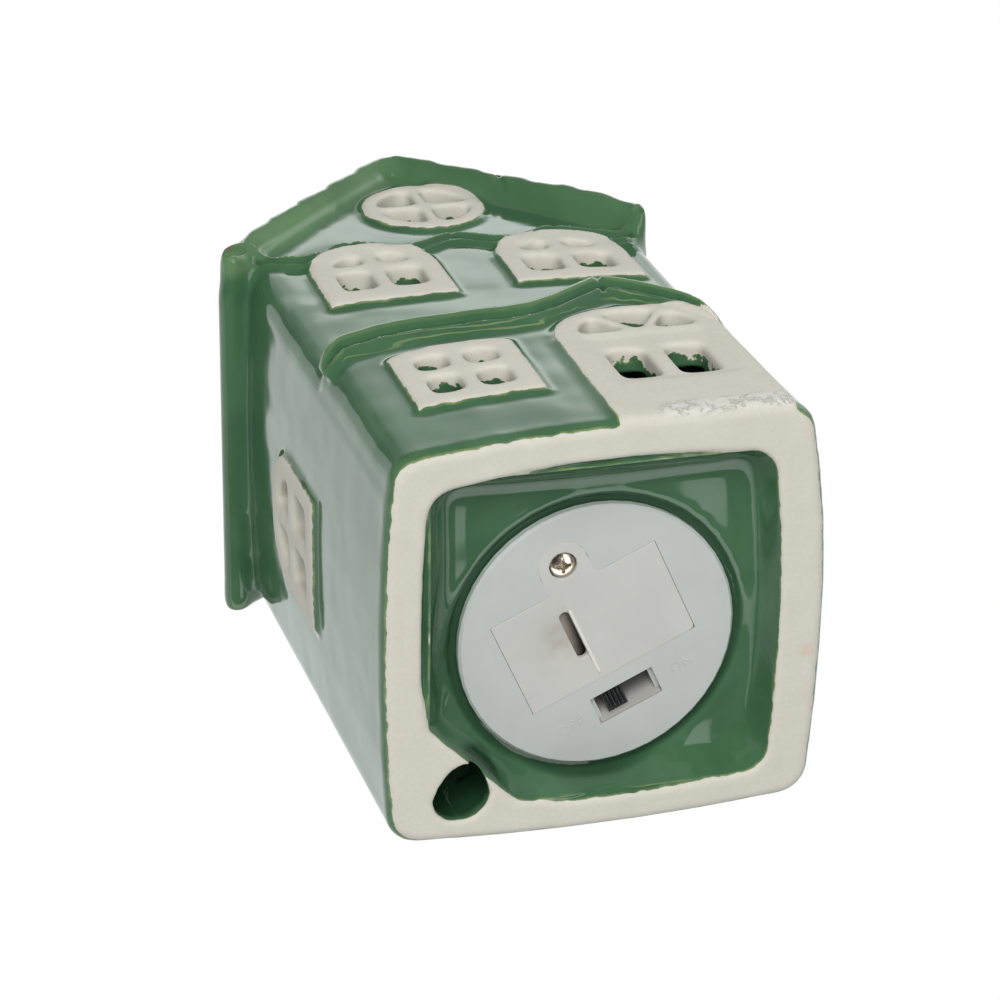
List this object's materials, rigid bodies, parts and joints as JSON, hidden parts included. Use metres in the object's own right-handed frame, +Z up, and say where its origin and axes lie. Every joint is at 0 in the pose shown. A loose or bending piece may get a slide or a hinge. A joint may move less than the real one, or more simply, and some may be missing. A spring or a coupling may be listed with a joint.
{
  "type": "light-up christmas house",
  "caption": "Hollow glazed ceramic Christmas house with cut-out windows and door, lit from inside by a slide-switched battery light unit set in its recessed base.",
  "frame": {"origin": "centre of the overall box in plan, on the plane that the foot rim stands on", "axes": "+Z up through the ridge, -Y out of the front wall with the door, +X to the right as seen from the front"},
  "size_m": [0.0786, 0.071, 0.1276],
  "materials": {
    "glazed_ceramic": "glossy green glaze, with bare cream bisque on the foot rim, the window frames and the door",
    "white_plastic": "satin moulded",
    "nickel_steel": "nickel plated",
    "cell_steel": "bright stamped can",
    "black_plastic": "satin",
    "switch_board": "pressed board",
    "brass": "tinned",
    "lamp_resin": "milky clear resin",
    "resistor_coat": "enamel",
    "red_insulation": "satin"
  },
  "bodies": {
    "house": {"house_body": "glazed_ceramic", "unit_housing": "white_plastic", "unit_cap": "white_plastic", "switch_shell": "nickel_steel", "switch_base": "switch_board", "switch_pin_1": "brass", "switch_pin_2": "brass", "switch_pin_3": "brass", "contact_positive": "nickel_steel", "contact_negative": "nickel_steel", "lamp_lens": "lamp_resin", "lamp_lead_anode": "brass", "lamp_lead_cathode": "brass", "resistor": "resistor_coat", "wire_red": "red_insulation", "wire_black": "black_plastic"},
    "knob": {"switch_knob": "black_plastic"},
    "hatch": {"battery_hatch": "white_plastic", "hatch_screw": "nickel_steel"},
    "cells": {"button_cell_1": "cell_steel", "button_cell_2": "cell_steel", "button_cell_3": "cell_steel"}
  },
  "joints": [
    {"name": "switch_slide", "type": "slide", "parent": "house", "child": "knob", "axis": [0.91, -0.4147, 0], "range_m": [0, 0.0035]},
    {"name": "hatch_lift", "type": "slide", "parent": "house", "child": "hatch", "axis": [0, 0, -1], "range_m": [0, 0.03]},
    {"name": "cells_lift", "type": "slide", "parent": "house", "child": "cells", "axis": [0, 0, -1], "range_m": [0, 0.0135]}
  ],
  "couplings": [
    {"joint": "cells_lift", "follows": "hatch_lift", "ratio": 0.45}
  ]
}
